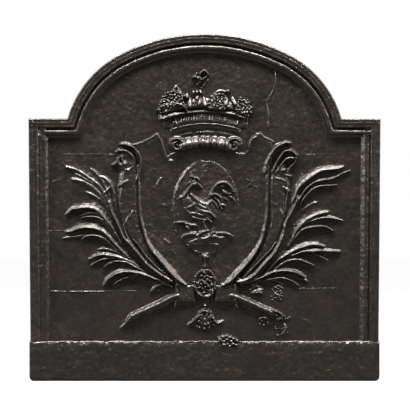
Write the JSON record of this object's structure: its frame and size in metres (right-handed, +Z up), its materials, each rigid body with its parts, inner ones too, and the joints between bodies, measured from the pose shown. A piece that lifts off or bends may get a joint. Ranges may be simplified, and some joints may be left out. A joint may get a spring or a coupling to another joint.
{
  "type": "fireback",
  "caption": "Arched cast iron fireback with a moulded border, a plain base band and a carved shield, crown and crossed palms in low relief.",
  "frame": {"origin": "middle of the foot: centre of the overall width and depth, at the level the plate stands on", "axes": "+Z up, +X to the right as seen from the carved front, -Y out of the carved front, the plain back faces +Y"},
  "size_m": [0.703, 0.035, 0.693],
  "materials": {
    "ground": "blackened sand casting, satin with rust stains",
    "band": "blackened sand casting, rough",
    "moulding": "blackened sand casting, arrises worn bright",
    "carving": "blackened sand casting, high points worn bright"
  },
  "bodies": {
    "root": {"plate": "ground", "base_band": "band", "left_side_moulding": "moulding", "right_side_moulding": "moulding", "left_shoulder_moulding": "moulding", "right_shoulder_moulding": "moulding", "left_haunch_moulding": "moulding", "crown_moulding": "moulding", "right_haunch_moulding": "moulding", "shield": "carving", "left_scroll": "carving", "right_scroll": "carving", "oval_frame": "carving", "rooster": "carving", "mound": "carving", "gadroon_roll": "carving", "left_volute": "carving", "right_volute": "carving", "crown_beads": "carving", "crown_band": "carving", "crown_cap": "carving", "crown_rim": "carving", "crown_leaves": "carving", "crown_pearls": "carving", "crown_cross": "carving", "left_palm": "carving", "right_palm": "carving", "left_stalk": "carving", "right_stalk": "carving", "left_binding": "carving", "right_binding": "carving", "medal": "carving", "knob": "carving", "pendant": "carving"}
  },
  "joints": []
}
